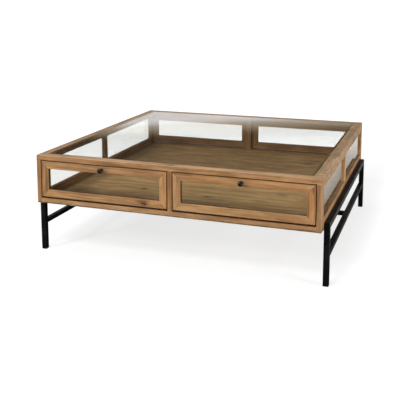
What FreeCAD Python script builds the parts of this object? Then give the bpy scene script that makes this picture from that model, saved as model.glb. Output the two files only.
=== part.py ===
"""Display table with a glazed case on a steel base. Millimetres, +Z up.

The origin is on the floor under the middle of the table. +X is to the right, the front faces -Y.
The case has four drop-down glazed flaps, two in the front and two in the rear.
"""
import FreeCAD, Part
import os

from FreeCAD import Vector

# Whole table
TABLE_WIDTH = 1070.0  # outside of the wooden case, left to right; the steel base is wider by two tubes
TABLE_DEPTH = 1070.0
TABLE_HEIGHT = 385.0
CASE_UNDERSIDE = 202.0  # height of the case's underside above the floor

# Wooden case
TOP_RAIL_WIDTH = 33.0  # seen from above, up to the glass
TOP_RAIL_HEIGHT = 19.0
GLASS_LEDGE = 9.0  # the step that carries the top glass
POST_FACE = 18.0  # corner posts, seen from the front
CENTRE_POST_FACE = 18.0
FRAME_DEPTH = 35.0  # posts and sills of the front and rear, front to back
SILL_HEIGHT = 20.0  # bottom rails under the flaps
SIDE_WALL = 18.0  # thickness of the side walls
SIDE_SILL_HEIGHT = 40.0  # bottom rails under the side panes
SIDE_RAIL_DROP = 17.0  # how far the side top rails reach below the top frame
MULLION_FACE = 26.0  # bar between the two panes of a side
FLOOR_HEIGHT = 14.0  # top of the floor board above the case's underside
FLOOR_THICKNESS = 10.0
FLOOR_TONGUE = 5.0  # thickness of the tongue round the floor board's lower edge
FLOOR_BITE = 6.0  # how far the tongue goes into its grooves
WOOD_EASE = 1.2  # bevel of the wooden edges that hands touch

# Glass
TOP_GLASS = 5.0
TOP_GLASS_GAP = 0.5  # round the edge of the top glass
PANE = 4.0
PANE_BITE = 6.0  # how far a pane goes into its frame
GROOVE_CLEARANCE = 1.0  # space left at the bottom of a pane's groove

# Flaps
FLAP_GAP = 2.0  # above a flap and at its ends
FLAP_FOOT_GAP = 4.0  # under a flap, where its lower front edge swings past the sill
FLAP_THICKNESS = 18.0
FLAP_RAIL = 29.0  # rails and stiles of a flap
STOP_LIP_HEIGHT = 5.0
STOP_LIP_WIDTH = 7.0
STOP_CLEARANCE = 0.3  # between a shut flap and its stop lip

# Pivots, knobs and catches
PIVOT_INSET = 5.0  # pivot axis from the flap's face and from its lower edge
PIN_RADIUS = 2.0
PIN_CLEARANCE = 0.05
PIN_IN_FLAP = 14.0
PIN_IN_POST = 10.0
PIN_END_SPACE = 0.5
KNOB_RADIUS = 9.5
KNOB_PROJECTION = 25.0
KNOB_NECK_RADIUS = 3.8
KNOB_HEAD_LENGTH = 13.0
KNOB_CROWN_HEIGHT = 3.0  # bevelled end of the head
KNOB_TIP_RADIUS = 6.5  # flat face inside the bevel
MAGNET_WIDTH = 20.0
MAGNET_DEPTH = 6.0
MAGNET_HEIGHT = 5.0

# Steel base
TUBE = 20.0
TUBE_WALL = 1.5
TUBE_CORNER = 2.0
LEG_SETBACK = 48.0  # legs behind the front face and ahead of the rear face
STRETCHER_UNDERSIDE = 102.0
STRETCHER_HEIGHT = 16.0
GLIDE_HEIGHT = 3.0
GLIDE_PLUG = 12.0
GLIDE_CLEARANCE = 0.2
GLIDE_BEVEL = 1.2
PLATE_THICKNESS = 3.0
PLATE_WIDTH = 44.0
PLATE_REACH = 60.0
PLATE_HOLE_RADIUS = 2.5
PLATE_HOLE_INSET = 25.0  # screw hole from the plate's inner end

# Levels and planes that follow from the sizes above
half_w = TABLE_WIDTH / 2
half_d = TABLE_DEPTH / 2
frame_under = TABLE_HEIGHT - TOP_RAIL_HEIGHT
sill_top = CASE_UNDERSIDE + SILL_HEIGHT
floor_top = CASE_UNDERSIDE + FLOOR_HEIGHT
glass_edge_x = half_w - TOP_RAIL_WIDTH
glass_edge_y = half_d - TOP_RAIL_WIDTH
inside_x = half_w - SIDE_WALL
inside_y = half_d - FRAME_DEPTH
pane_depth = (SIDE_WALL - PANE) / 2
side_sill_top = CASE_UNDERSIDE + SIDE_SILL_HEIGHT
side_window_top = frame_under - SIDE_RAIL_DROP

# The right-hand front flap, from which the other three are mirrored
flap_x0 = CENTRE_POST_FACE / 2 + FLAP_GAP
flap_x1 = half_w - POST_FACE - FLAP_GAP
flap_z0 = sill_top + FLAP_FOOT_GAP
flap_z1 = frame_under - FLAP_GAP
flap_middle_x = (flap_x0 + flap_x1) / 2
pivot_y = -half_d + PIVOT_INSET
pivot_z = flap_z0 + PIVOT_INSET

rail_top = CASE_UNDERSIDE + TUBE
leg_outer_y = half_d - LEG_SETBACK


def box(x, y, z):
    """A box from three (low, high) pairs."""
    size = [high - low for low, high in (x, y, z)]
    return Part.makeBox(*size, Vector(x[0], y[0], z[0]))


def fuse(shapes):
    return shapes[0].multiFuse(shapes[1:]).removeSplitter()


def cut(shape, tools):
    for tool in tools:
        shape = shape.cut(tool)
    return shape


def straight_edges(shape, wanted):
    """The edges for which wanted(start, end) is true."""
    return [e for e in shape.Edges if wanted(e.Vertexes[0].Point, e.Vertexes[-1].Point)]


def round_edges(shape, radius, wanted):
    return shape.makeFillet(radius, straight_edges(shape, wanted))


def bevel_edges(shape, size, wanted):
    return shape.makeChamfer(size, straight_edges(shape, wanted))


def on_plane(axis, value):
    """A test for edges that lie on the plane where the axis (0, 1 or 2) has the value."""
    return lambda a, b: abs(a[axis] - value) < 1e-6 and abs(b[axis] - value) < 1e-6


def both(*tests):
    return lambda a, b: all(test(a, b) for test in tests)


def either(*tests):
    return lambda a, b: any(test(a, b) for test in tests)


def along(axis):
    """A test for edges parallel to an axis."""
    return lambda a, b: all(abs(a[i] - b[i]) < 1e-6 for i in range(3) if i != axis)


def as_built(shape):
    return shape


def mirror_x(shape):
    return shape.mirror(Vector(0, 0, 0), Vector(1, 0, 0))


def mirror_y(shape):
    return shape.mirror(Vector(0, 0, 0), Vector(0, 1, 0))


def four_corners(shape):
    """The front right shape and its three mirror images, as one compound."""
    right = [shape, mirror_y(shape)]
    return Part.makeCompound(right + [mirror_x(s) for s in right])


def polygon_prism(points, direction):
    wire = Part.makePolygon([Vector(*p) for p in points + points[:1]])
    return Part.Face(wire).extrude(Vector(*direction))


# Side panes and the floor board come first, because the grooves are cut to them


def side_pane(grow):
    """The front pane of the right-hand wall. grow is how far it reaches past the window."""
    return box(
        (half_w - pane_depth - PANE, half_w - pane_depth),
        (-inside_y - grow, -MULLION_FACE / 2 + grow),
        (side_sill_top - grow, side_window_top + grow),
    )


def side_grooves():
    groove = side_pane(PANE_BITE + GROOVE_CLEARANCE)
    return [groove, mirror_y(groove)]


def corner_post_blank():
    return box((half_w - POST_FACE, half_w), (-half_d, -inside_y), (CASE_UNDERSIDE, frame_under))


def floor_board():
    """It fills the case between the sills, and a tongue round its lower edge goes into them."""
    under = floor_top - FLOOR_THICKNESS
    board = box((-inside_x, inside_x), (-inside_y, inside_y), (under, floor_top))
    x = inside_x + FLOOR_BITE
    y = inside_y + FLOOR_BITE
    tongue = box((-x, x), (-y, y), (under, under + FLOOR_TONGUE))
    return fuse([board, tongue.cut(four_corners(corner_post_blank()))])


# Pivot pins, catch magnets and the bores that take them


def pivot_cylinder(x0, x1, radius):
    return Part.makeCylinder(radius, x1 - x0, Vector(x0, pivot_y, pivot_z), Vector(1, 0, 0))


def outer_pin():
    return pivot_cylinder(flap_x1 - PIN_IN_FLAP, half_w - POST_FACE + PIN_IN_POST, PIN_RADIUS)


def middle_pin():
    """One pin through the centre post carries the inner ends of both flaps."""
    reach = flap_x0 + PIN_IN_FLAP
    return pivot_cylinder(-reach, reach, PIN_RADIUS)


def pivot_pins():
    front = [outer_pin(), mirror_x(outer_pin()), middle_pin()]
    return Part.makeCompound(front + [mirror_y(pin) for pin in front])


def catch_magnet():
    """A bar let into the underside of the top frame, over the middle of a flap's upper edge."""
    middle_y = -half_d + FLAP_THICKNESS / 2
    return box(
        (flap_middle_x - MAGNET_WIDTH / 2, flap_middle_x + MAGNET_WIDTH / 2),
        (middle_y - MAGNET_DEPTH / 2, middle_y + MAGNET_DEPTH / 2),
        (frame_under, frame_under + MAGNET_HEIGHT),
    )


# Wooden case


def front_top_rail():
    rail = box((-half_w, half_w), (-half_d, -glass_edge_y), (frame_under, TABLE_HEIGHT))
    top = on_plane(2, TABLE_HEIGHT)
    ends = either(on_plane(0, -half_w), on_plane(0, half_w))
    front = on_plane(1, -half_d)
    eased = either(both(top, ends), both(top, front), both(along(2), front))
    rail = bevel_edges(rail, WOOD_EASE, eased)
    ledge_end = glass_edge_x - GLASS_LEDGE
    ledge = box(
        (-ledge_end, ledge_end),
        (-glass_edge_y, -glass_edge_y + GLASS_LEDGE),
        (frame_under, TABLE_HEIGHT - TOP_GLASS),
    )
    lip_y = -half_d + FLAP_THICKNESS + STOP_CLEARANCE
    lip = box(
        (CENTRE_POST_FACE / 2, half_w - POST_FACE),
        (lip_y, lip_y + STOP_LIP_WIDTH),
        (frame_under - STOP_LIP_HEIGHT, frame_under),
    )
    magnet = catch_magnet()
    return cut(fuse([rail, ledge, lip, mirror_x(lip)]), [magnet, mirror_x(magnet)])


def side_top_rail():
    """The flange carries the glass, and the web below it closes the side wall."""
    flange = box((glass_edge_x, half_w), (-glass_edge_y, glass_edge_y), (frame_under, TABLE_HEIGHT))
    flange = bevel_edges(flange, WOOD_EASE, both(on_plane(0, half_w), on_plane(2, TABLE_HEIGHT)))
    ledge = box(
        (glass_edge_x - GLASS_LEDGE, glass_edge_x),
        (-glass_edge_y, glass_edge_y),
        (frame_under, TABLE_HEIGHT - TOP_GLASS),
    )
    web = box((inside_x, half_w), (-inside_y, inside_y), (side_window_top, frame_under))
    return cut(fuse([flange, ledge, web]), side_grooves())


def front_sill():
    sill = box(
        (-half_w + POST_FACE, half_w - POST_FACE),
        (-half_d, -inside_y),
        (CASE_UNDERSIDE, sill_top),
    )
    front = on_plane(1, -half_d)
    sill = bevel_edges(sill, WOOD_EASE, both(front, along(0)))
    return sill.cut(floor_board())


def side_sill():
    sill = box((inside_x, half_w), (-inside_y, inside_y), (CASE_UNDERSIDE, side_sill_top))
    sill = bevel_edges(sill, WOOD_EASE, both(on_plane(0, half_w), along(1)))
    return cut(sill, [floor_board()] + side_grooves())


def corner_post():
    post = corner_post_blank()
    outer_arris = both(along(2), on_plane(0, half_w), on_plane(1, -half_d))
    inner_arris = both(along(2), on_plane(0, half_w - POST_FACE), on_plane(1, -half_d))
    post = bevel_edges(post, WOOD_EASE, either(outer_arris, inner_arris))
    return cut(post, [outer_pin()] + side_grooves())


def centre_post():
    half_face = CENTRE_POST_FACE / 2
    post = box((-half_face, half_face), (-half_d, -inside_y), (sill_top, frame_under))
    post = bevel_edges(post, WOOD_EASE, both(along(2), on_plane(1, -half_d)))
    return post.cut(middle_pin())


def side_mullion():
    half_face = MULLION_FACE / 2
    bar = box((inside_x, half_w), (-half_face, half_face), (side_sill_top, side_window_top))
    bar = bevel_edges(bar, WOOD_EASE, both(along(2), on_plane(0, half_w)))
    return cut(bar, side_grooves())


def top_glass():
    x = glass_edge_x - TOP_GLASS_GAP
    y = glass_edge_y - TOP_GLASS_GAP
    return box((-x, x), (-y, y), (TABLE_HEIGHT - TOP_GLASS, TABLE_HEIGHT))


# Flaps, built as the right-hand front one


def flap_box(inset, y):
    """A box over the flap's face, drawn in from its edges by inset."""
    return box((flap_x0 + inset, flap_x1 - inset), y, (flap_z0 + inset, flap_z1 - inset))


def flap_pane(bite):
    front = -half_d + (FLAP_THICKNESS - PANE) / 2
    return flap_box(FLAP_RAIL - bite, (front, front + PANE))


def flap_frame():
    """The whole frame of a flap in one piece, ready to be parted at the mitres."""
    thickness = (-half_d, -half_d + FLAP_THICKNESS)
    front = on_plane(1, -half_d)
    blank = bevel_edges(flap_box(0, thickness), WOOD_EASE, front)
    frame = blank.cut(flap_box(FLAP_RAIL, thickness))
    window = [
        both(front, on_plane(0, flap_x0 + FLAP_RAIL)),
        both(front, on_plane(0, flap_x1 - FLAP_RAIL)),
        both(front, on_plane(2, flap_z0 + FLAP_RAIL)),
        both(front, on_plane(2, flap_z1 - FLAP_RAIL)),
    ]
    frame = bevel_edges(frame, WOOD_EASE, either(*window))
    bore_depth = PIN_IN_FLAP + PIN_END_SPACE
    bore_radius = PIN_RADIUS + PIN_CLEARANCE
    bores = [
        pivot_cylinder(flap_x0, flap_x0 + bore_depth, bore_radius),
        pivot_cylinder(flap_x1 - bore_depth, flap_x1, bore_radius),
    ]
    return cut(frame, [flap_pane(PANE_BITE + GROOVE_CLEARANCE)] + bores)


def face_corners(inset):
    """The (x, z) corners of a flap's face, drawn in by inset."""
    inner_x = flap_x0 + inset
    outer_x = flap_x1 - inset
    bottom = flap_z0 + inset
    top = flap_z1 - inset
    return {
        "bottom inner": (inner_x, bottom),
        "bottom outer": (outer_x, bottom),
        "top inner": (inner_x, top),
        "top outer": (outer_x, top),
    }


def flap_members():
    """Rails and stiles, parted from the frame by prisms with mitred ends."""
    frame = flap_frame()
    outer = face_corners(0)
    inner = face_corners(FLAP_RAIL)
    members = {
        "rail_bottom": ("bottom inner", "bottom outer"),
        "rail_top": ("top inner", "top outer"),
        "stile_inner": ("bottom inner", "top inner"),
        "stile_outer": ("bottom outer", "top outer"),
    }
    parts = {}
    for name, (a, b) in members.items():
        outline = [outer[a], outer[b], inner[b], inner[a]]
        points = [(x, -half_d, z) for x, z in outline]
        parts[name] = frame.common(polygon_prism(points, (0, FLAP_THICKNESS, 0)))
    return parts


def knob():
    """Turned from a half section: a straight neck and a mushroom head with a bevelled crown."""
    head_start = KNOB_PROJECTION - KNOB_HEAD_LENGTH
    crown_start = KNOB_PROJECTION - KNOB_CROWN_HEIGHT
    section = [
        (0, 0),
        (KNOB_NECK_RADIUS, 0),
        (KNOB_NECK_RADIUS, head_start),
        (KNOB_RADIUS, head_start),
        (KNOB_RADIUS, crown_start),
        (KNOB_TIP_RADIUS, KNOB_PROJECTION),
        (0, KNOB_PROJECTION),
    ]
    wire = Part.makePolygon([Vector(r, 0, z) for r, z in section + section[:1]])
    shape = Part.Face(wire).revolve(Vector(0, 0, 0), Vector(0, 0, 1), 360)
    shape.rotate(Vector(0, 0, 0), Vector(1, 0, 0), 90)
    shape.translate(Vector(flap_middle_x, -half_d, flap_z1 - FLAP_RAIL / 2))
    return shape


# Steel base, built as its right-hand front quarter


def tube(x, y, z, axis):
    """A square or oblong tube along an axis (0, 1 or 2), open at its ends."""
    spans = [x, y, z]
    bore = [s if i == axis else (s[0] + TUBE_WALL, s[1] - TUBE_WALL) for i, s in enumerate(spans)]
    return round_edges(box(x, y, z), TUBE_CORNER, along(axis)).cut(box(*bore))


def leg():
    """Mitred at the top to the end of the upper rail."""
    x = (half_w, half_w + TUBE)
    front, back = -leg_outer_y, -leg_outer_y + TUBE
    blank = tube(x, (front, back), (GLIDE_HEIGHT, rail_top), 2)
    outline = [(front, GLIDE_HEIGHT), (back, GLIDE_HEIGHT), (back, rail_top - TUBE), (front, rail_top)]
    points = [(half_w, py, pz) for py, pz in outline]
    return blank.common(polygon_prism(points, (TUBE, 0, 0)))


def upper_rail():
    y0, y1 = -leg_outer_y, leg_outer_y
    under = rail_top - TUBE
    blank = tube((half_w, half_w + TUBE), (y0, y1), (under, rail_top), 1)
    outline = [(y0, rail_top), (y1, rail_top), (y1 - TUBE, under), (y0 + TUBE, under)]
    points = [(half_w, py, pz) for py, pz in outline]
    return blank.common(polygon_prism(points, (TUBE, 0, 0)))


def stretcher_levels():
    return (STRETCHER_UNDERSIDE, STRETCHER_UNDERSIDE + STRETCHER_HEIGHT)


def side_stretcher():
    reach = leg_outer_y - TUBE
    return tube((half_w, half_w + TUBE), (-reach, reach), stretcher_levels(), 1)


def cross_stretcher():
    return tube((-half_w, half_w), (-TUBE / 2, TUBE / 2), stretcher_levels(), 0)


def foot_glide():
    """A plug for the open end of a leg, with a bevelled sole."""
    x = (half_w, half_w + TUBE)
    y = (-leg_outer_y, -leg_outer_y + TUBE)
    sole = bevel_edges(box(x, y, (0, GLIDE_HEIGHT)), TUBE_CORNER, along(2))
    sole = bevel_edges(sole, GLIDE_BEVEL, on_plane(2, 0))
    margin = TUBE_WALL + GLIDE_CLEARANCE
    plug = box(
        (x[0] + margin, x[1] - margin),
        (y[0] + margin, y[1] - margin),
        (GLIDE_HEIGHT, GLIDE_HEIGHT + GLIDE_PLUG),
    )
    return fuse([sole, plug])


def fixing_plate():
    """Welded to the inside of a leg, under the case, with a hole for a wood screw."""
    middle_y = -leg_outer_y + TUBE / 2
    plate = box(
        (half_w - PLATE_REACH, half_w),
        (middle_y - PLATE_WIDTH / 2, middle_y + PLATE_WIDTH / 2),
        (CASE_UNDERSIDE - PLATE_THICKNESS, CASE_UNDERSIDE),
    )
    corners = both(along(2), on_plane(0, half_w - PLATE_REACH))
    plate = bevel_edges(plate, TUBE_CORNER, corners)
    hole_x = half_w - PLATE_REACH + PLATE_HOLE_INSET
    foot = Vector(hole_x, middle_y, CASE_UNDERSIDE - PLATE_THICKNESS)
    return plate.cut(Part.makeCylinder(PLATE_HOLE_RADIUS, PLATE_THICKNESS, foot))


def build():
    nodes = {}
    for wall, turn_y in (("front", as_built), ("rear", mirror_y)):
        nodes["top_rail_" + wall] = turn_y(front_top_rail())
        nodes["sill_" + wall] = turn_y(front_sill())
        nodes["centre_post_" + wall] = turn_y(centre_post())
        flap = flap_members()
        flap["pane"] = flap_pane(PANE_BITE)
        flap["knob"] = knob()
        for side, turn_x in (("right", as_built), ("left", mirror_x)):
            end = wall + "_" + side
            nodes["corner_post_" + end] = turn_x(turn_y(corner_post()))
            nodes["side_pane_" + end] = turn_x(turn_y(side_pane(PANE_BITE)))
            nodes["leg_" + end] = turn_x(turn_y(leg()))
            for piece, shape in flap.items():
                nodes["flap_" + end + "_" + piece] = turn_x(turn_y(shape))
    for side, turn_x in (("right", as_built), ("left", mirror_x)):
        nodes["top_rail_" + side] = turn_x(side_top_rail())
        nodes["sill_" + side] = turn_x(side_sill())
        nodes["side_mullion_" + side] = turn_x(side_mullion())
        nodes["upper_rail_" + side] = turn_x(upper_rail())
        nodes["stretcher_" + side] = turn_x(side_stretcher())
    nodes["cross_stretcher"] = cross_stretcher()
    nodes["floor_board"] = floor_board()
    nodes["top_glass"] = top_glass()
    nodes["pivot_pins"] = pivot_pins()
    nodes["catch_magnets"] = four_corners(catch_magnet())
    nodes["foot_glides"] = four_corners(foot_glide())
    nodes["fixing_plates"] = four_corners(fixing_plate())
    return nodes


os.makedirs("parts", exist_ok=True)
for node, solid in build().items():
    solid.exportStep("parts/" + node + ".step")
    print(node, len(solid.Solids), "solid,", round(solid.Volume / 1000, 1), "cm3", solid.isValid())
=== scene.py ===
"""Looks for the glazed display table: wood, glass, steel, knobs, fasteners, welds, light and camera."""

import math
import random

import bmesh
import bpy
from mathutils import Matrix, Vector


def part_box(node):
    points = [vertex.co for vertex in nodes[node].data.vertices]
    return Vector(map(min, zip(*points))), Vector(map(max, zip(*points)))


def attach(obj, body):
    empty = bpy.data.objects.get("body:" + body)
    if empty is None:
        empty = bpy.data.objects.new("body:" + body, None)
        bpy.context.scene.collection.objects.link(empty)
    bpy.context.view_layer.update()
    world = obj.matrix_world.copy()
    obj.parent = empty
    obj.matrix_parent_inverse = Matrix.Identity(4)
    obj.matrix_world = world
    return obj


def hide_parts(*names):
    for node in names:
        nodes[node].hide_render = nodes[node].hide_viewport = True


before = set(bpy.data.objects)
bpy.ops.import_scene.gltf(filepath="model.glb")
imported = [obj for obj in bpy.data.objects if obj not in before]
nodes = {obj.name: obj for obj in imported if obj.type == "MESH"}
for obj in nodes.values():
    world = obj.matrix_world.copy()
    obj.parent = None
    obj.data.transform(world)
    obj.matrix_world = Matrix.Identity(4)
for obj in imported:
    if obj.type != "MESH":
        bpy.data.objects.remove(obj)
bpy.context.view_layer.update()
random.seed(7)

MM = 0.001
FLAPS = [end + "_" + side for end in ("front", "rear") for side in ("left", "right")]


# ---------------------------------------------------------------- node graphs


class Graph:
    """Short calls for building a node tree.

    A value may be a number, a tuple or another node's output. A colour is a tuple of red, green and blue.
    """

    def __init__(self, tree):
        self.tree = tree

    def add(self, kind, values=None, **settings):
        node = self.tree.nodes.new(kind)
        for name, value in settings.items():
            setattr(node, name, value)
        self.feed(node, values or {})
        return node

    def feed(self, node, values):
        """Sets a node's inputs, or links another node's output to them, by their names or numbers."""
        for name, value in values.items():
            socket = node.inputs[name]
            if isinstance(value, bpy.types.NodeSocket):
                self.tree.links.new(value, socket)
            elif socket.type == "RGBA":
                socket.default_value = (*value, 1)
            else:
                socket.default_value = value

    def group(self, tree, values):
        return self.add("ShaderNodeGroup", values, node_tree=tree).outputs

    def math(self, operation, a, b=0.0):
        return self.add("ShaderNodeMath", {0: a, 1: b}, operation=operation).outputs[0]

    def plus(self, a, b):
        return self.math("ADD", a, b)

    def minus(self, a, b):
        return self.math("SUBTRACT", a, b)

    def times(self, a, b):
        return self.math("MULTIPLY", a, b)

    def most(self, a, b):
        return self.math("MAXIMUM", a, b)

    def least(self, a, b):
        return self.math("MINIMUM", a, b)

    def under(self, a, limit):
        return self.math("LESS_THAN", a, limit)

    def size(self, a):
        return self.math("ABSOLUTE", a)

    def distance(self, a, b):
        return self.size(self.minus(a, b))

    def vector(self, operation, a, b=(0, 0, 0)):
        node = self.add("ShaderNodeVectorMath", {0: a, 1: b}, operation=operation)
        return node.outputs["Value" if operation in ("LENGTH", "DISTANCE", "DOT_PRODUCT") else "Vector"]

    def scaled(self, vector, scale):
        """The vector times a number, or times one number for each axis."""
        return self.vector("MULTIPLY", vector, scale if isinstance(scale, tuple) else (scale,) * 3)

    def split(self, vector):
        node = self.add("ShaderNodeSeparateXYZ", {"Vector": vector})
        return node.outputs[0], node.outputs[1], node.outputs[2]

    def join(self, x, y, z):
        return self.add("ShaderNodeCombineXYZ", {"X": x, "Y": y, "Z": z}).outputs[0]

    def noise(self, vector, scale=None, detail=2.0, rough=0.5):
        """Noise about 0.5, with scale features in a metre: one number, or one for each axis.

        Without scale, the vector counts the features itself.
        """
        if scale:
            vector = self.scaled(vector, scale)
        values = {"Vector": vector, "Scale": 1.0, "Detail": detail, "Roughness": rough}
        return self.add("ShaderNodeTexNoise", values).outputs[0]

    def step(self, value, low, high, to_low=0.0, to_high=1.0):
        """A smooth change from to_low, where value is low, to to_high, where it is high."""
        values = {"Value": value, "From Min": low, "From Max": high, "To Min": to_low, "To Max": to_high}
        return self.add("ShaderNodeMapRange", values, interpolation_type="SMOOTHSTEP").outputs[0]

    def fade(self, value, start, end, full=1.0):
        """full up to start, and from there down to 0 at end."""
        return self.step(value, start, end, full, 0.0)

    def mix(self, share, a, b, blend="MIX"):
        """Colour a where share is 0, and b where it is 1. The node's colours are its inputs 6 and 7."""
        node = self.add("ShaderNodeMix", {0: share, 6: a, 7: b}, data_type="RGBA", blend_type=blend)
        return node.outputs[2]

    def ramp(self, value, stops):
        node = self.add("ShaderNodeValToRGB", {"Fac": value})
        marks = node.color_ramp.elements
        while len(marks) < len(stops):
            marks.new(0.5)
        for mark, (place, colour) in zip(marks, stops):
            mark.position = place
            mark.color = (*colour, 1)
        return node.outputs[0]

    def bump(self, height, strength, distance):
        values = {"Height": height, "Strength": strength, "Distance": distance}
        return self.add("ShaderNodeBump", values).outputs[0]


def new_group(name, inputs, outputs):
    """A shader node group: its graph, what it is given, and its end node.

    inputs gives each input's kind, Vector or Float, by its name. outputs are names, all of kind Float.
    """
    tree = bpy.data.node_groups.new(name, "ShaderNodeTree")
    for socket, kind in inputs.items():
        tree.interface.new_socket(socket, in_out="INPUT", socket_type="NodeSocket" + kind)
    for socket in outputs:
        tree.interface.new_socket(socket, in_out="OUTPUT", socket_type="NodeSocketFloat")
    graph = Graph(tree)
    return graph, graph.add("NodeGroupInput").outputs, graph.add("NodeGroupOutput")


def new_material(name):
    """A material, its graph and its Principled node."""
    material = bpy.data.materials.new(name)
    material.use_nodes = True
    return material, Graph(material.node_tree), material.node_tree.nodes["Principled BSDF"]


def rgb(red, green, blue):
    """A screen colour of 0 to 255 as the linear colour that nodes take."""
    return tuple(((c / 255 + 0.055) / 1.055) ** 2.4 if c > 10 else c / 3295 for c in (red, green, blue))


# ---------------------------------------------------------------- shared groups


def edge_group():
    """Edge is 1 on the edges of the box from Low to High, and fades to 0 at Width from them."""
    inputs = {"Point": "Vector", "Low": "Vector", "High": "Vector", "Width": "Float"}
    graph, given, result = new_group("near_edge", inputs, ["Edge"])
    below = graph.vector("SUBTRACT", given["Low"], given["Point"])
    above = graph.vector("SUBTRACT", given["Point"], given["High"])
    x, y, z = graph.split(graph.vector("MAXIMUM", below, above))
    # A point is as far from an edge as from the second nearest of the box's sides
    nearer = graph.most(x, y)
    further = graph.least(x, y)
    second = graph.most(further, graph.least(nearer, z))
    graph.feed(result, {"Edge": graph.fade(graph.times(second, -1.0), 0.0, given["Width"])})
    return graph.tree


# Painted shade round the flaps. A pair says where it starts to change and where the change ends.
GAP_WALLS = (4.5 * MM, 6.5 * MM)  # from a flap's outline, where the walls of its gap end
GAP_MOUTH = (0.1 * MM, 1.8 * MM)  # from the face inwards, where the gap gets dark
GAP_BACK = (18 * MM, 22 * MM)  # from the face inwards, where the gap ends behind a flap
RIM_MIDDLE = 0.8 * MM  # of the painted shade round a flap, out from its outline
RIM_FADE = (1.3 * MM, 2.9 * MM)
FOOT_MIDDLE = -1.2 * MM  # of the painted shade under a flap, up from its lower edge
FOOT_FADE = (2.7 * MM, 4.7 * MM)
RIM_SHADE_DEPTH = 1.5 * MM  # the painted shade on the rims lies on the face and its bevels alone


def gap_group():
    """Gap is 1 inside the gaps round the flaps, from a little way in, and the rim output is up to 1 on their
    rims and under them. Both are painted shade.
    """
    graph, given, result = new_group("flap_gap", {"Point": "Vector", "Normal": "Vector"}, ["Gap", "RimShade"])
    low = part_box("flap_front_right_rail_bottom")[0]
    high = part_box("flap_front_right_rail_top")[1]
    middle, half = (low + high) / 2, (high - low) / 2
    x, y, z = graph.split(given["Point"])
    # How far a point is outside a flap's outline, with the four flaps laid on one another
    past_x = graph.minus(graph.distance(graph.size(x), middle.x), half.x)
    past_z = graph.minus(graph.distance(z, middle.z), half.z)
    past = graph.most(past_x, past_z)
    near = graph.fade(graph.size(past), *GAP_WALLS)
    depth = graph.minus(-low.y, graph.size(y))
    inside = graph.times(graph.step(depth, *GAP_MOUTH), graph.fade(depth, *GAP_BACK))
    sideways = graph.fade(graph.size(graph.split(given["Normal"])[1]), 0.5, 0.9)
    rim = graph.fade(graph.distance(past, RIM_MIDDLE), *RIM_FADE, 0.88)
    foot = graph.fade(graph.distance(graph.minus(z, low.z), FOOT_MIDDLE), *FOOT_FADE, 0.9)
    foot = graph.times(foot, graph.under(past_x, 0.0))
    rim_shade = graph.times(graph.most(rim, foot), graph.under(depth, RIM_SHADE_DEPTH))
    graph.feed(result, {"Gap": graph.times(graph.times(near, inside), sideways), "RimShade": rim_shade})
    return graph.tree


KNOT_SHAPE = (70, 200, 240)  # 1 over the placed knot's half sizes in metres. It is long along the grain
KNOT_CELLS = (7.5, 15, 15)  # cells in a metre, each of which may hold a knot
CELLS_WITHOUT = 0.86  # share of the cells that hold none
STREWN_SIZE = 11.0  # 1 over a strewn knot's half size, as a share of its cell
FAR = 9.0  # added to the distance where a cell holds no knot


def knot_field(graph, grain, placed):
    """How far the nearest knot is, about 1 at its rim. One knot is placed, and scattered cells hold more."""
    wavy = graph.times(graph.minus(graph.noise(grain, (45, 90, 90)), 0.5), 0.016)
    from_placed = graph.vector("SUBTRACT", graph.vector("ADD", grain, graph.join(0, 0, wavy)), placed)
    near_placed = graph.vector("LENGTH", graph.scaled(from_placed, KNOT_SHAPE))
    cells = graph.add("ShaderNodeTexVoronoi", {"Vector": graph.scaled(grain, KNOT_CELLS), "Scale": 1.0})
    empty = graph.under(graph.split(cells.outputs["Color"])[0], CELLS_WITHOUT)
    strewn = graph.plus(graph.times(cells.outputs["Distance"], STREWN_SIZE), graph.times(empty, FAR))
    return graph.least(near_placed, strewn)


def dark_marks(graph, knot, core, fine, vein, slow):
    """Knots with a halo, cracks in and beside them, and here and there a thin dark vein."""
    halo = graph.times(graph.fade(knot, 0.9, 3.0), 0.35)
    thread = graph.fade(graph.distance(fine, 0.5), 0.0, 0.05)
    crack = graph.times(thread, graph.fade(knot, 0.7, 3.4))
    vein = graph.times(graph.fade(graph.distance(vein, 0.5), 0.0, 0.02, 0.30), graph.step(slow, 0.45, 0.6))
    return graph.most(graph.most(core, halo), graph.most(graph.times(crack, 0.8), vein))


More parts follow.
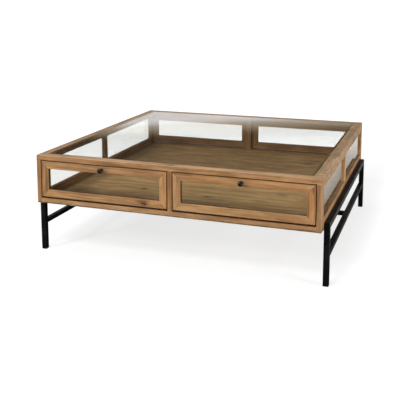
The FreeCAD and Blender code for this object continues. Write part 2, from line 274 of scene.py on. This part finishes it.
def wood_group():
    """Knotty light oak. Grain is in metres: X along it, Y and Z across it from a made-up tree's middle."""
    outputs = ["Tone", "Fibre", "Patch", "Worn", "Saw", "Dark", "Height"]
    graph, given, result = new_group("oak_grain", {"Grain": "Vector", "Knot": "Vector"}, outputs)
    grain = given["Grain"]
    knot = knot_field(graph, grain, given["Knot"])
    core = graph.fade(knot, 0.55, 1.25)
    # Year rings bend round the knots and wander along the board
    along, v, w = graph.split(grain)
    swell = graph.math("EXPONENT", graph.times(graph.times(knot, knot), -0.22))
    slow = graph.noise(grain, (1.6, 5.0, 5.0))
    bend = graph.plus(graph.times(graph.minus(slow, 0.5), 0.026), graph.times(swell, 0.007))
    from_middle = graph.math("SQRT", graph.plus(graph.times(v, v), graph.times(w, w)))
    ring = graph.plus(from_middle, bend)
    wide = graph.join(graph.times(along, 1.4), graph.times(ring, 60), 0.0)
    wide = graph.noise(wide, detail=3.0, rough=0.62)
    fine = graph.join(graph.times(along, 3.5), graph.times(ring, 330), graph.times(w, 14))
    fine = graph.noise(fine, detail=3.0, rough=0.6)
    # Marks that follow the bent grain
    bent = graph.join(along, graph.plus(v, bend), graph.plus(w, bend))
    band = graph.noise(bent, (8, 190, 190))
    vein = graph.noise(bent, (4, 110, 110), detail=1.0)
    patch = graph.noise(bent, (9, 38, 38), detail=3.0)
    worn = graph.noise(bent, (16, 70, 70), detail=3.0, rough=0.65)
    # Marks that run straight, with the saw's across the board
    fibre = graph.noise(grain, (28, 1100, 1100))
    saw = graph.noise(grain, (55, 16, 16), detail=4.0, rough=0.62)
    pores = graph.step(graph.noise(grain, (75, 1900, 1900), detail=1.0), 0.60, 0.72)
    pores = graph.times(pores, graph.step(fine, 0.42, 0.6))
    tone = graph.plus(graph.times(wide, 0.55), graph.plus(graph.times(band, 0.28), graph.times(fine, 0.28)))
    raised = graph.plus(graph.times(fibre, 0.35), graph.times(fine, 0.5))
    sunken = graph.plus(graph.times(pores, 0.8), graph.times(core, 0.6))
    values = {
        "Tone": graph.minus(tone, 0.055),
        "Fibre": graph.plus(graph.times(fibre, 0.6), graph.times(pores, 0.5)),
        "Patch": patch,
        "Worn": worn,
        "Saw": graph.step(saw, 0.48, 0.64),
        "Dark": dark_marks(graph, knot, core, fine, vein, slow),
        "Height": graph.minus(raised, sunken),
    }
    graph.feed(result, values)
    return graph.tree


near_edge = edge_group()
flap_gap = gap_group()
oak_grain = wood_group()


# ---------------------------------------------------------------- wood

OAK = (rgb(112, 74, 42), rgb(157, 117, 76), rgb(190, 153, 107))  # late wood, middle, early wood
GLASS_LIT_OAK = (rgb(142, 112, 76), rgb(207, 168, 120), rgb(238, 204, 156))  # the floor board: the same oak, painted paler and greener for the light that reaches it through the glass
# Dark brown of the knots, saw marks and mitre lines, and of the painted shade on the floor board and along
# the lower edge
KNOT_AND_SHADE_BROWN = rgb(58, 34, 20)
# The colour of the painted shade in and round the gaps of the flaps
GAP_SHADOW_BROWN = rgb(62, 24, 2)
GREY_WOOD = rgb(104, 88, 70)
SHEEN_PALE = rgb(204, 200, 184)
TOP_SHEEN = 0.14  # how much paler a painted sheen makes the upward faces of the top rails
PATCH_TINTS = (0.80, 0.76, 0.70), (1.16, 1.15, 1.13)
LOWER_EDGE_SHADE = (2.8 * MM, 4.8 * MM)  # how far up from the case's underside its edge is darkened by painted shade
WORN_AND_LIT_EDGE = 2.2 * MM  # width of the paler strip along a member's edges, partly wear and partly a painted highlight
MITRE_LINE = (0.3 * MM, 1.1 * MM, 0.44)  # from the mitre to where the line fades and ends, and its strength
FRONT_WALL_SHADE = (-0.43, -0.35)  # y on the floor board, where the painted shade by the front wall fades and ends
LEFT_WALL_SHADE = (-0.47, -0.40)  # x, where the painted shade by the left wall does
TONE_SPREAD = 0.18  # from the middle of the grain's tone to its darkest and its palest
FLOOR_SPREAD = 0.27  # the same on the floor board, where the grain shows less
GAP_SHADE = 0.94  # how dark the painted shade in the gaps is on the members round a flap
FLAP_GAP_SHADE = 0.7  # and on its own members

WOODEN = ("top_rail", "sill", "centre_post", "corner_post", "side_mullion", "floor_board")
FLAP_MEMBERS = ("_rail_top", "_rail_bottom", "_stile_inner", "_stile_outer")
KNOTS = {"flap_front_left_rail_bottom": (-0.100, -0.535, 0.240)}  # where a member has a knot placed
NO_KNOT = (90.0, 90.0, 90.0)  # a place that no board reaches
WEATHER = {"top_rail_right": 0.55, "top_rail_left": 0.45}
USUAL_WEATHER = 0.12
# How bright and how warm each member's board is beside the others
TONES = {
    "centre_post_front": (0.83, 1.2),
    "corner_post_front_left": (0.86, 0.7),
    "corner_post_front_right": (0.94, -0.6),
    "flap_front_left_rail_bottom": (1.00, 0.3),
    "flap_front_left_rail_top": (1.08, -0.3),
    "flap_front_left_stile_inner": (1.30, 0.0),
    "flap_front_left_stile_outer": (0.86, 0.7),
    "flap_front_right_rail_bottom": (1.06, -0.3),
    "flap_front_right_rail_top": (0.93, 0.5),
    "flap_front_right_stile_inner": (1.12, -0.5),
    "flap_front_right_stile_outer": (1.00, 0.9),
    "sill_front": (1.05, -0.4),
    "top_rail_front": (0.92, 0.1),
    "top_rail_right": (1.24, -0.7),
    "side_mullion_right": (1.38, -0.9),
}


def shades(name):
    """The late, middle and early wood of a member's board."""
    bright, warm = TONES.get(name, (1.0, 0.0))
    bright *= random.uniform(0.93, 1.05)
    tint = (bright, bright * (1 - 0.10 * warm), bright * (1 - 0.22 * warm))
    colours = GLASS_LIT_OAK if name == "floor_board" else OAK
    return [tuple(c * t for c, t in zip(colour, tint)) for colour in colours]


def grain_axis(name):
    """The axis that a member's grain runs along: 0, 1 or 2."""
    if name == "floor_board" or name.endswith(("rail_top", "rail_bottom")):
        return 0
    if name.startswith(("top_rail", "sill")):
        return 0 if name.endswith(("front", "rear")) else 1
    return 2


def grain_first(values, along):
    """Values for x, y and z, turned so that the one along the grain comes first."""
    values = tuple(values)
    return values[along:] + values[:along]


def grain_pattern(graph, name, point, middle):
    """The grain of a member's board, which is cut from its own place in the made-up tree."""
    along = grain_axis(name)
    cut_at = Vector((random.uniform(-40, 40), random.uniform(0.03, 0.11), random.uniform(-0.09, 0.09)))
    start = cut_at - Vector((0, *grain_first(middle, along)[1:]))
    grain = graph.vector("ADD", graph.join(*grain_first(graph.split(point), along)), tuple(start))
    knot = tuple(Vector(grain_first(KNOTS[name], along)) + start) if name in KNOTS else NO_KNOT
    return graph.group(oak_grain, {"Grain": grain, "Knot": knot})


def board_colour(graph, pattern, board, spread, weather):
    """A board's colour: grain, patches, pores, grey weathering, saw marks and knots."""
    late, middle, early = board
    colour = graph.ramp(pattern["Tone"], [(0.5 - spread, late), (0.5, middle), (0.5 + spread, early)])
    patches = graph.mix(graph.step(pattern["Patch"], 0.34, 0.66), *PATCH_TINTS)
    colour = graph.mix(1.0, colour, patches, "MULTIPLY")
    colour = graph.mix(graph.step(pattern["Fibre"], 0.28, 0.75, 0.0, 0.36), colour, late)
    colour = graph.mix(graph.step(pattern["Worn"], 0.40, 0.58, 0.25 * weather, weather), colour, GREY_WOOD)
    colour = graph.mix(graph.times(pattern["Saw"], 1.8 * weather * weather), colour, KNOT_AND_SHADE_BROWN)
    return graph.mix(pattern["Dark"], colour, KNOT_AND_SHADE_BROWN)


def painted_wall_shade(graph, point):
    """Painted shade on the floor board, along the left wall and the left part of the front one."""
    x, y, _ = graph.split(point)
    front = graph.times(graph.fade(y, *FRONT_WALL_SHADE, 0.35), graph.fade(x, 0.0, 0.35))
    return graph.most(front, graph.fade(x, *LEFT_WALL_SHADE, 0.5))


def own_marks(graph, name, colour, place, low, weather):
    """Adds the marks that only some members show: painted shade along the floor board's walls, a painted
    sheen on the top rails' upward faces, or uneven painted shade along the lower edge.
    """
    point = place["Object"]
    if name == "floor_board":
        # Painted shade along the floor board's walls
        return graph.mix(painted_wall_shade(graph, point), colour, KNOT_AND_SHADE_BROWN)
    if name.startswith("top_rail"):
        # A painted sheen: the top rails' upward faces are paler
        upward = graph.step(graph.split(place["Normal"])[2], 0.5, 0.9, 0.0, TOP_SHEEN * (1 - weather))
        return graph.mix(upward, colour, SHEEN_PALE)
    if name.startswith(("sill", "corner_post")):
        # Uneven painted shade along the lower edge of the sills and corner posts
        uneven = graph.step(graph.noise(point, 35, detail=3.0), 0.42, 0.56, 0.3, 0.95)
        foot = graph.fade(graph.minus(graph.split(point)[2], low.z), *LOWER_EDGE_SHADE)
        return graph.mix(graph.times(foot, uneven), colour, KNOT_AND_SHADE_BROWN)
    return colour


def edge_band(graph, point, low, high, width):
    """1 on the edges of a member's box, fading to 0 over the width."""
    return graph.group(near_edge, {"Point": point, "Low": tuple(low), "High": tuple(high), "Width": width})[0]


def mitred_frame(name):
    """The lowest and highest (x, z) of the flap that a member is part of, or None."""
    for member in FLAP_MEMBERS:
        if name.endswith(member):
            flap = name.removesuffix(member)
            low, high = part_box(flap + "_rail_bottom")[0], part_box(flap + "_rail_top")[1]
            return (low.x, low.z), (high.x, high.z)
    return None


def mitre_line(graph, point, mitred):
    """The thin dark line of the mitres. It is as far from a frame's side as from its top or foot."""
    (x0, z0), (x1, z1) = mitred
    x, _, z = graph.split(point)
    from_side = graph.least(graph.minus(x, x0), graph.minus(x1, x))
    from_end = graph.least(graph.minus(z, z0), graph.minus(z1, z))
    return graph.fade(graph.distance(from_side, from_end), *MITRE_LINE)


def wood(name):
    """Wood for one member: its board, its own marks, its paler edges of wear and painted highlight, its
    mitres and the painted shade in the gaps beside it.
    """
    low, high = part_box(name)
    board = shades(name)
    weather = WEATHER.get(name, USUAL_WEATHER)
    material, graph, shader = new_material("oak_" + name)
    place = graph.add("ShaderNodeTexCoord").outputs
    point = place["Object"]
    pattern = grain_pattern(graph, name, point, (low + high) / 2)
    spread = FLOOR_SPREAD if name == "floor_board" else TONE_SPREAD
    colour = board_colour(graph, pattern, board, spread, weather)
    colour = own_marks(graph, name, colour, place, low, weather)
    # Paler edges, partly rubbed wear and partly a painted highlight
    patchy = graph.step(graph.noise(point, 60, detail=3.0), 0.38, 0.60, 0.05, 0.45)
    rubbed = graph.times(edge_band(graph, point, low, high, WORN_AND_LIT_EDGE), patchy)
    colour = graph.mix(rubbed, colour, tuple(min(1.0, c * 1.25) for c in board[-1]))
    mitred = mitred_frame(name)
    if mitred:
        colour = graph.mix(mitre_line(graph, point, mitred), colour, KNOT_AND_SHADE_BROWN)
    # Painted shade in the gaps round the flaps, on their rims and under them
    gap = graph.group(flap_gap, {"Point": point, "Normal": place["Normal"]})
    shade = graph.most(graph.times(gap["Gap"], FLAP_GAP_SHADE if mitred else GAP_SHADE), gap["RimShade"])
    smear = graph.step(graph.noise(point, 18, detail=3.0), 0.3, 0.7, 0.46, 0.58)
    look = {
        "Base Color": graph.mix(shade, colour, GAP_SHADOW_BROWN),
        "Roughness": graph.plus(smear, graph.times(pattern["Fibre"], 0.12)),
        "Normal": graph.bump(pattern["Height"], 0.35, 0.25 * MM),
        "Specular IOR Level": 0.42,
    }
    graph.feed(shader, look)
    return material


def paint(piece, material):
    piece.data.materials.clear()
    piece.data.materials.append(material)


def dress_wood():
    for name in sorted(nodes):
        if name.endswith(FLAP_MEMBERS) or name.startswith(WOODEN):
            paint(nodes[name], wood(name))


# ---------------------------------------------------------------- glass, steel, plastic

BLACK_COAT = (0.0052, 0.0052, 0.0056)
BLACK_PLASTIC = (0.018, 0.018, 0.018)
RUBBED_COAT = (0.03, 0.029, 0.028)
RUBBED_COAT_EDGE = 1.6 * MM
CLEAR = (0.74, 0.735, 0.685)  # colour of the light that passes a pane
CLEAR_FRONT = (0.28, 0.275, 0.26)  # and a front pane, which leaves the board behind it darker


def glass(name, lets_in):
    """Clear float glass, with a faint smear where it was wiped. lets_in colours the light that it passes."""
    material, graph, shader = new_material(name)
    point = graph.add("ShaderNodeTexCoord").outputs["Object"]
    wipe = graph.noise(point, 9, detail=4.0, rough=0.6)
    look = {
        "Base Color": (0.985, 0.995, 0.985),
        "Transmission Weight": 1.0,
        "IOR": 1.5,
        "Roughness": graph.step(wipe, 0.5, 0.8, 0.0, 0.008),
    }
    graph.feed(shader, look)
    through = graph.add("ShaderNodeBsdfTransparent", {"Color": lets_in})
    path = graph.add("ShaderNodeLightPath").outputs
    passes = graph.most(path["Is Shadow Ray"], path["Is Diffuse Ray"])
    blend = graph.add("ShaderNodeMixShader", {0: passes, 1: shader.outputs[0], 2: through.outputs[0]})
    graph.feed(material.node_tree.nodes["Material Output"], {"Surface": blend.outputs[0]})
    return material


def black_paint(name, low, high, colour=BLACK_COAT, rough=0.42):
    """Satin powder coat over steel, a little rubbed along its edges."""
    material, graph, shader = new_material(name)
    point = graph.add("ShaderNodeTexCoord").outputs["Object"]
    peel = graph.noise(point, 900)
    cloud = graph.noise(point, 22, detail=3.0)
    patchy = graph.step(cloud, 0.5, 0.68, 0.0, 0.5)
    rubbed = graph.times(edge_band(graph, point, low, high, RUBBED_COAT_EDGE), patchy)
    base = graph.mix(graph.step(cloud, 0.35, 0.7), colour, tuple(c * 1.7 for c in colour))
    look = {
        "Base Color": graph.mix(rubbed, base, RUBBED_COAT),
        "Roughness": graph.step(cloud, 0.3, 0.7, rough - 0.05, rough + 0.07),
        "Normal": graph.bump(peel, 0.12, 0.12 * MM),
        "Specular IOR Level": 0.08,
    }
    graph.feed(shader, look)
    return material


def bare_steel():
    """Brushed steel with faint stains: the pins, magnets, strike plates and screws."""
    material, graph, shader = new_material("plain_steel")
    point = graph.add("ShaderNodeTexCoord").outputs["Object"]
    brush = graph.noise(point, (2500, 120, 120))
    stain = graph.noise(point, 140, detail=3.0)
    look = {
        "Base Color": graph.ramp(stain, [(0.35, (0.52, 0.51, 0.50)), (0.7, (0.68, 0.67, 0.65))]),
        "Metallic": 1.0,
        "Roughness": graph.step(brush, 0.3, 0.7, 0.26, 0.42),
        "Normal": graph.bump(brush, 0.15, 0.05 * MM),
    }
    graph.feed(shader, look)
    return material


def dark_bronze():
    """The knobs: blackened metal with brown where fingers rub it."""
    material, graph, shader = new_material("black_knob")
    point = graph.add("ShaderNodeTexCoord").outputs["Object"]
    cloud = graph.noise(point, 160, detail=3.0)
    look = {
        "Base Color": graph.ramp(cloud, [(0.35, (0.004, 0.0035, 0.003)), (0.7, (0.014, 0.010, 0.007))]),
        "Specular IOR Level": 1.0,
        "Specular Tint": (1.0, 0.88, 0.76),
        "Roughness": graph.step(cloud, 0.3, 0.7, 0.17, 0.23),
        "Normal": graph.bump(cloud, 0.06, 0.05 * MM),
    }
    graph.feed(shader, look)
    return material


STEEL = ("leg", "upper_rail", "stretcher", "cross_stretcher", "fixing_plates")


def dress_the_rest():
    """Glass, painted steel, plastic glides and bare steel for the nodes. Gives the bare steel back."""
    pane = glass("clear_glass", CLEAR)
    front_pane = glass("clear_glass_front", CLEAR_FRONT)
    plain = bare_steel()
    for name in sorted(nodes):
        if name.startswith("flap_front") and name.endswith("pane"):
            paint(nodes[name], front_pane)
        elif "pane" in name or name == "top_glass":
            paint(nodes[name], pane)
        elif name.startswith(STEEL):
            paint(nodes[name], black_paint("steel_" + name, *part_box(name)))
        elif name == "foot_glides":
            paint(nodes[name], black_paint("glide", *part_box(name), BLACK_PLASTIC, 0.6))
        elif name in ("pivot_pins", "catch_magnets"):
            paint(nodes[name], plain)
    return plain


# ---------------------------------------------------------------- new pieces

SHARP_ANGLE = math.radians(35)  # edges that turn by more are left sharp


def keep_mesh(shape, name, material, body):
    """Makes a piece of a bmesh, with outward normals and smooth shading, that rides on a body."""
    bmesh.ops.recalc_face_normals(shape, faces=shape.faces)
    for face in shape.faces:
        face.smooth = True
    for edge in shape.edges:
        edge.smooth = len(edge.link_faces) == 2 and edge.calc_face_angle(0) < SHARP_ANGLE
    mesh = bpy.data.meshes.new(name)
    shape.to_mesh(mesh)
    shape.free()
    mesh.materials.append(material)
    piece = bpy.data.objects.new(name, mesh)
    bpy.context.scene.collection.objects.link(piece)
    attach(piece, body)
    return piece


def facing(direction):
    """The turn that takes +Z to a direction."""
    return Vector((0, 0, 1)).rotation_difference(Vector(direction)).to_matrix()


def ring_into(shape, centre, turn, radius, height, around):
    """Adds a ring of points to a bmesh, or a single point where the radius is 0."""
    angles = [2 * math.pi * k / around for k in range(around)] if radius else [0.0]
    offsets = [Vector((radius * math.cos(t), radius * math.sin(t), height)) for t in angles]
    return [shape.verts.new(centre + turn @ offset) for offset in offsets]


def skin_into(shape, rings):
    """Joins each ring of points to the next one with faces. A ring of one point makes a tip."""
    for lower, upper in zip(rings, rings[1:]):
        around = max(len(lower), len(upper))
        for k in range(around):
            m = (k + 1) % around
            first, second = lower[k % len(lower)], lower[m % len(lower)]
            third, fourth = upper[m % len(upper)], upper[k % len(upper)]
            # A tip's point would come twice, so it is kept once
            shape.faces.new(list(dict.fromkeys((first, second, third, fourth))))


def arc(cx, cy, radius, start, end, steps):
    """Points on an arc, with angles in degrees."""
    turns = [math.radians(start + (end - start) * k / steps) for k in range(steps + 1)]
    return [(cx + radius * math.cos(t), cy + radius * math.sin(t)) for t in turns]


def knob_profile():
    """Half section of the knob as (radius, height), in mm from the flap's face."""
    foot = [(0, 0), (6.3, 0), (6.3, 0.8)] + arc(5.4, 0.8, 0.9, 0, 90, 4)[1:]
    neck = [(4.6, 2.4), (3.9, 4.0), (3.6, 6.0), (3.6, 8.2), (3.9, 10.0), (4.7, 11.2)]
    head = [(5.8, 12.0), (7.5, 12.8), (8.7, 13.9), (9.3, 15.4), (9.5, 17.1), (9.4, 18.8)]
    crown = [(8.8, 20.7), (7.8, 22.3), (6.4, 23.5), (4.6, 24.4), (2.4, 24.9), (0, 25.0)]
    return foot + neck + head + crown


KNOB_AROUND = 48  # points in each ring of a knob


def knobs(material):
    """A finely turned knob in the place of each plain one."""
    for flap in FLAPS:
        low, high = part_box("flap_" + flap + "_knob")
        front = flap.startswith("front")
        centre = Vector(((low.x + high.x) / 2, high.y if front else low.y, (low.z + high.z) / 2))
        turn = facing((0, -1 if front else 1, 0))
        shape = bmesh.new()
        rings = [ring_into(shape, centre, turn, r * MM, h * MM, KNOB_AROUND) for r, h in knob_profile()]
        skin_into(shape, rings)
        piece = keep_mesh(shape, "knob_" + flap, material, "flap_" + flap)
        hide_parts("flap_" + flap + "_knob")


def block_into(shape, low, high, bevel):
    """Adds a box between two corners to a bmesh, with its edges bevelled."""
    made = bmesh.ops.create_cube(shape, size=1.0)["verts"]
    for vert in made:
        vert.co = Vector(high[k] if vert.co[k] > 0 else low[k] for k in range(3))
    edges = list({edge for vert in made for edge in vert.link_edges})
    bmesh.ops.bevel(shape, geom=edges, offset=bevel, segments=2, profile=0.6, affect="EDGES")


SCREW_AROUND = 24  # points in each ring of a screw head, two for each point of its cross
# Half section of a screw head, as shares of its radius and of its dome's height
SCREW_SECTION = [(1.0, 0.0), (1.0, 0.25), (0.93, 0.55), (0.78, 0.82), (0.58, 0.96)]
CROSS_REACH = 0.50  # from the head's middle to an arm's end, as a share of its radius
CROSS_HALF_WIDTH = 0.13
CROSS_DEPTH = -0.35  # the recess's floor, as a share of the dome's height
CROSS_TAPER = 0.8  # the floor's size beside the rim's


def screw_into(shape, centre, direction, radius, dome):
    """Adds a screw head to a bmesh: a low dome with a cross recess, on a face that points along direction."""
    turn = facing(direction)
    centre = Vector(centre)
    rings = [ring_into(shape, centre, turn, radius * r, dome * h, SCREW_AROUND) for r, h in SCREW_SECTION]
    skin_into(shape, rings)
    shape.faces.new(rings[0])
    # The cross has three points to a quarter: the two ends of an arm, and the corner before the next one
    arm, waist = CROSS_REACH * radius, CROSS_HALF_WIDTH * radius
    outline = []
    for quarter in range(4):
        spin = Matrix.Rotation(quarter * math.pi / 2, 3, "Z")
        outline += [spin @ Vector(p) for p in ((arm, -waist, 0), (arm, waist, 0), (waist, waist, 0))]
    up, down = Vector((0, 0, dome)), Vector((0, 0, CROSS_DEPTH * dome))
    lip = [shape.verts.new(centre + turn @ (p + up)) for p in outline]
    pit = [shape.verts.new(centre + turn @ (p * CROSS_TAPER + down)) for p in outline]
    skin_into(shape, [lip, pit])
    shape.faces.new(pit)
    inner = rings[-1]
    for k in range(len(lip)):
        before, at, after = (inner[(2 * k + step) % SCREW_AROUND] for step in (-1, 0, 1))
        shape.faces.new((before, at, lip[k]))
        shape.faces.new((at, after, lip[(k + 1) % len(lip)], lip[k]))


STRIKE = Vector((24, 8, 0.9)) * MM  # the plate that a catch magnet holds
STRIKE_BEVEL = 0.25 * MM
STRIKE_SCREW_OFFSET = 8.2 * MM
STRIKE_SCREW = (2.3 * MM, 0.5 * MM)  # radius and height of the head
STRIKE_SCREW_SINK = 0.1 * MM


def strike_plates(material):
    """A thin plate with two screws on each flap's upper edge, under the magnet."""
    for flap in FLAPS:
        low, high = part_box("flap_" + flap + "_rail_top")
        middle = Vector(((low.x + high.x) / 2, (low.y + high.y) / 2, high.z))
        half = Vector((STRIKE.x / 2, STRIKE.y / 2, 0))
        shape = bmesh.new()
        block_into(shape, middle - half, middle + half + Vector((0, 0, STRIKE.z)), STRIKE_BEVEL)
        for way in (-1, 1):
            foot = middle + Vector((way * STRIKE_SCREW_OFFSET, 0, STRIKE.z - STRIKE_SCREW_SINK))
            screw_into(shape, foot, (0, 0, 1), *STRIKE_SCREW)
        keep_mesh(shape, "strike_" + flap, material, "flap_" + flap)


PLATE_SCREW_INSET = 35 * MM  # from the outer end of a fixing plate to its hole
PLATE_HALF_WIDTH = 22 * MM  # from its side to its hole
PLATE_SCREW = (4.6 * MM, 2.4 * MM)  # radius and height of the head


def plate_screws(material):
    """The wood screws that hold the case down on its four fixing plates."""
    low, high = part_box("fixing_plates")
    shape = bmesh.new()
    for way_x in (-1, 1):
        for way_y in (-1, 1):
            x = way_x * (high.x - PLATE_SCREW_INSET)
            y = way_y * (high.y - PLATE_HALF_WIDTH)
            screw_into(shape, (x, y, low.z), (0, 0, -1), *PLATE_SCREW)
    keep_mesh(shape, "plate_screws", material, "table")


WELD_LEG = 3.0 * MM
WELD_RIPPLE = 0.55  # length of a ripple, as a share of the leg
WELD_TIP = 0.55  # size of a bead's two ends beside the rest
WELD_MIDDLE = 0.80  # how far a bead's middle stands out, as a share of the leg
WELD_TRIM = 1.5 * MM  # a bead stops this far from the tube's corners


def weld_into(shape, start, end, out_a, out_b):
    """Adds a fillet weld from start to end, in the corner whose two faces run along out_a and out_b."""
    start, out_a, out_b = Vector(start), Vector(out_a), Vector(out_b)
    along = Vector(end) - start
    count = max(6, round(along.length / (WELD_RIPPLE * WELD_LEG)))
    rows = []
    for k in range(count + 1):
        at = start + along * (k / count)
        ripple = 1.0 + 0.10 * (k % 2) + random.uniform(-0.05, 0.05)
        size = WELD_LEG * ripple * (WELD_TIP if k in (0, count) else 1.0)
        middle = (out_a + out_b).normalized() * size * WELD_MIDDLE
        rows.append([shape.verts.new(at + p) for p in (out_a * size, middle, out_b * size, Vector())])
    skin_into(shape, rows)
    shape.faces.new(rows[0])
    shape.faces.new(rows[-1])


def welds(material):
    """Fillet welds where the side stretchers meet the legs, and where the cross stretcher meets them."""
    shape = bmesh.new()
    for side in ("left", "right"):
        low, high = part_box("stretcher_" + side)
        for y, way_y in ((low.y, 1), (high.y, -1)):
            for z, way_z in ((low.z, -1), (high.z, 1)):
                ends = (low.x + WELD_TRIM, y, z), (high.x - WELD_TRIM, y, z)
                weld_into(shape, *ends, (0, way_y, 0), (0, 0, way_z))
    low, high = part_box("cross_stretcher")
    for x, way_x in ((low.x, 1), (high.x, -1)):
        for y, way_y in ((low.y, -1), (high.y, 1)):
            ends = (x, y, low.z + WELD_TRIM), (x, y, high.z - WELD_TRIM)
            weld_into(shape, *ends, (way_x, 0, 0), (0, way_y, 0))
    keep_mesh(shape, "weld_beads", material, "table")


# ---------------------------------------------------------------- stage, light and camera

FLOOR_REACH = 30
FLOOR_SEEN = 0.765  # how brightly the floor shines at the camera round the table, where it holds a painted shadow. Further out it is 1, white
FLOOR_GREY = (0.25, 0.25, 0.25)
FLOOR_GREY_MIRRORED = (0.04, 0.04, 0.04)  # in glass and metal
WARM_LIGHT = (1.0, 0.87, 0.70)


def floor_glow(graph, point, path):
    """How brightly the floor shines, which depends on what sees it."""
    right, back, _ = graph.split(point)
    bounced = graph.plus(path["Glossy Depth"], path["Diffuse Depth"])
    passed = graph.math("GREATER_THAN", path["Transmission Depth"], 0.5)
    through = graph.times(graph.under(bounced, 0.5), passed)
    # To the camera: white, with a painted shadow that makes it a little darker round the table
    seen = graph.step(graph.vector("DISTANCE", point, (0.3, 0.0, 0.0)), 0.9, 2.4, FLOOR_SEEN, 1.0)
    seen = graph.most(seen, graph.step(right, 0.50, 0.80, FLOOR_SEEN, 1.0))
    # Mirrored in glass and metal: light behind the table and to its right
    mirrored = graph.most(graph.step(back, 0.2, 2.3, 0.0, 0.9), graph.step(right, 0.55, 0.85, 0.0, 0.82))
    mirror = graph.minus(path["Is Glossy Ray"], through)
    glow = graph.plus(graph.times(path["Is Camera Ray"], seen), graph.times(mirror, mirrored))
    # Seen through glass: a bright strip behind the table
    behind = graph.minus(back, graph.times(right, 0.4))
    window = graph.minus(graph.step(behind, 1.2, 1.45, 1.05, 2.0), graph.step(behind, 1.9, 2.05, 0.0, 0.14))
    window = graph.minus(window, graph.step(behind, 2.05, 3.1, 0.0, 1.56))
    glow = graph.plus(glow, graph.times(through, window))
    # What it throws back on the table: most from the right
    side = graph.step(right, 0.5, 1.1, 0.06, 1.2)
    return graph.plus(glow, graph.times(path["Is Diffuse Ray"], side))


def floor():
    """A pale floor with a painted shadow round the table. On the right, what it throws back is warm."""
    mesh = bpy.data.meshes.new("floor")
    corners = [(x * FLOOR_REACH, y * FLOOR_REACH, 0) for x, y in ((-1, -1), (1, -1), (1, 1), (-1, 1))]
    mesh.from_pydata(corners, [], [(0, 1, 2, 3)])
    piece = bpy.data.objects.new("floor", mesh)
    bpy.context.scene.collection.objects.link(piece)
    material, graph, shader = new_material("floor")
    point = graph.add("ShaderNodeTexCoord").outputs["Object"]
    path = graph.add("ShaderNodeLightPath").outputs
    warm = graph.plus(graph.times(path["Is Glossy Ray"], 0.3), path["Is Diffuse Ray"])
    warm = graph.times(graph.step(graph.split(point)[0], 0.5, 0.8), warm)
    look = {
        "Roughness": 0.9,
        "Specular IOR Level": 0.0,
        "Base Color": graph.mix(path["Is Glossy Ray"], FLOOR_GREY, FLOOR_GREY_MIRRORED),
        "Emission Color": graph.mix(warm, (1, 1, 1), WARM_LIGHT),
        "Emission Strength": floor_glow(graph, point, path),
    }
    graph.feed(shader, look)
    mesh.materials.append(material)


def surroundings():
    """A white backdrop up to a low height, dark above it and softly lit overhead.

    Above the horizon it is darker towards the right front. Below it is bright all round.
    """
    world = bpy.data.worlds.new("studio")
    bpy.context.scene.world = world
    world.use_nodes = True
    graph = Graph(world.node_tree)
    direction = graph.vector("NORMALIZE", graph.add("ShaderNodeTexCoord").outputs["Generated"])
    x, _, up = graph.split(direction)
    level = graph.plus(up, graph.times(graph.plus(x, 0.30), 0.04))
    white, cream, brown = (1.0, 1.0, 0.98), (0.73, 0.72, 0.67), (0.50, 0.47, 0.40)
    dusk, dark, soft = (0.25, 0.22, 0.16), (0.02, 0.02, 0.02), (0.30, 0.30, 0.30)
    stops = [(0.0, white), (0.177, white), (0.1816, cream), (0.184, brown), (0.191, dusk), (0.1975, dark)]
    studio = graph.ramp(level, stops + [(0.42, dark), (0.60, soft), (1.0, soft)])
    left_rear = graph.vector("DOT_PRODUCT", direction, (-0.6, 0.8, 0.0))
    studio = graph.mix(graph.fade(left_rear, -0.6, 0.4, 0.8), studio, (0.05, 0.05, 0.05))
    colour = graph.mix(graph.under(up, 0.0), studio, (1.8, 1.8, 1.8))
    graph.feed(world.node_tree.nodes["Background"], {"Color": colour})


def area_light(name, place, aim, size, power, glossy=False):
    """A rectangular lamp. Unless it is glossy, no mirror or pane shows it."""
    lamp = bpy.data.lights.new(name, "AREA")
    lamp.shape = "RECTANGLE"
    lamp.size, lamp.size_y = size
    lamp.energy = power
    piece = bpy.data.objects.new(name, lamp)
    bpy.context.scene.collection.objects.link(piece)
    piece.location = place
    piece.rotation_euler = (Vector(aim) - Vector(place)).to_track_quat("-Z", "Y").to_euler()
    piece.visible_glossy = piece.visible_transmission = glossy


def lights():
    area_light("key", (-2.5, -3.9, 2.4), (0, -0.1, 0.3), (0.8, 0.8), 120, glossy=True)
    area_light("front", (-0.35, -3.0, 3.05), (0, -0.1, 0.3), (0.9, 0.8), 85)
    area_light("overhead", (-1.4, 0.1, 3.4), (0, 0, 0.3), (2.6, 2.6), 46)
    area_light("right", (3.6, -1.4, 1.3), (0.5, 0, 0.3), (1.0, 0.8), 74)


IMAGE_PIXELS = 400  # width and height of the photograph
FOCAL_PIXELS = 709.1  # its focal length
SENSOR = 36
CAMERA_PLACE = (0.9039, -2.7702, 0.9860)
LOOKS_DOWN, ROLL, TURNED_LEFT = 8.68, 0.08, 19.45  # degrees
SHIFT = -0.25  # the table stands above the middle of the photograph


def camera():
    data = bpy.data.cameras.new("camera")
    data.sensor_width = SENSOR
    data.lens = FOCAL_PIXELS * SENSOR / IMAGE_PIXELS
    data.shift_y = SHIFT
    piece = bpy.data.objects.new("camera", data)
    piece.location = CAMERA_PLACE
    piece.rotation_euler = [math.radians(angle) for angle in (90 - LOOKS_DOWN, ROLL, TURNED_LEFT)]
    bpy.context.scene.collection.objects.link(piece)
    bpy.context.scene.camera = piece


camera()
surroundings()
lights()
floor()
dress_wood()
plain_steel = dress_the_rest()
knobs(dark_bronze())
strike_plates(plain_steel)
plate_screws(plain_steel)
welds(black_paint("steel_welds", (-1, -1, -1), (1, 1, 1)))
bpy.context.scene.view_settings.view_transform = "Standard"
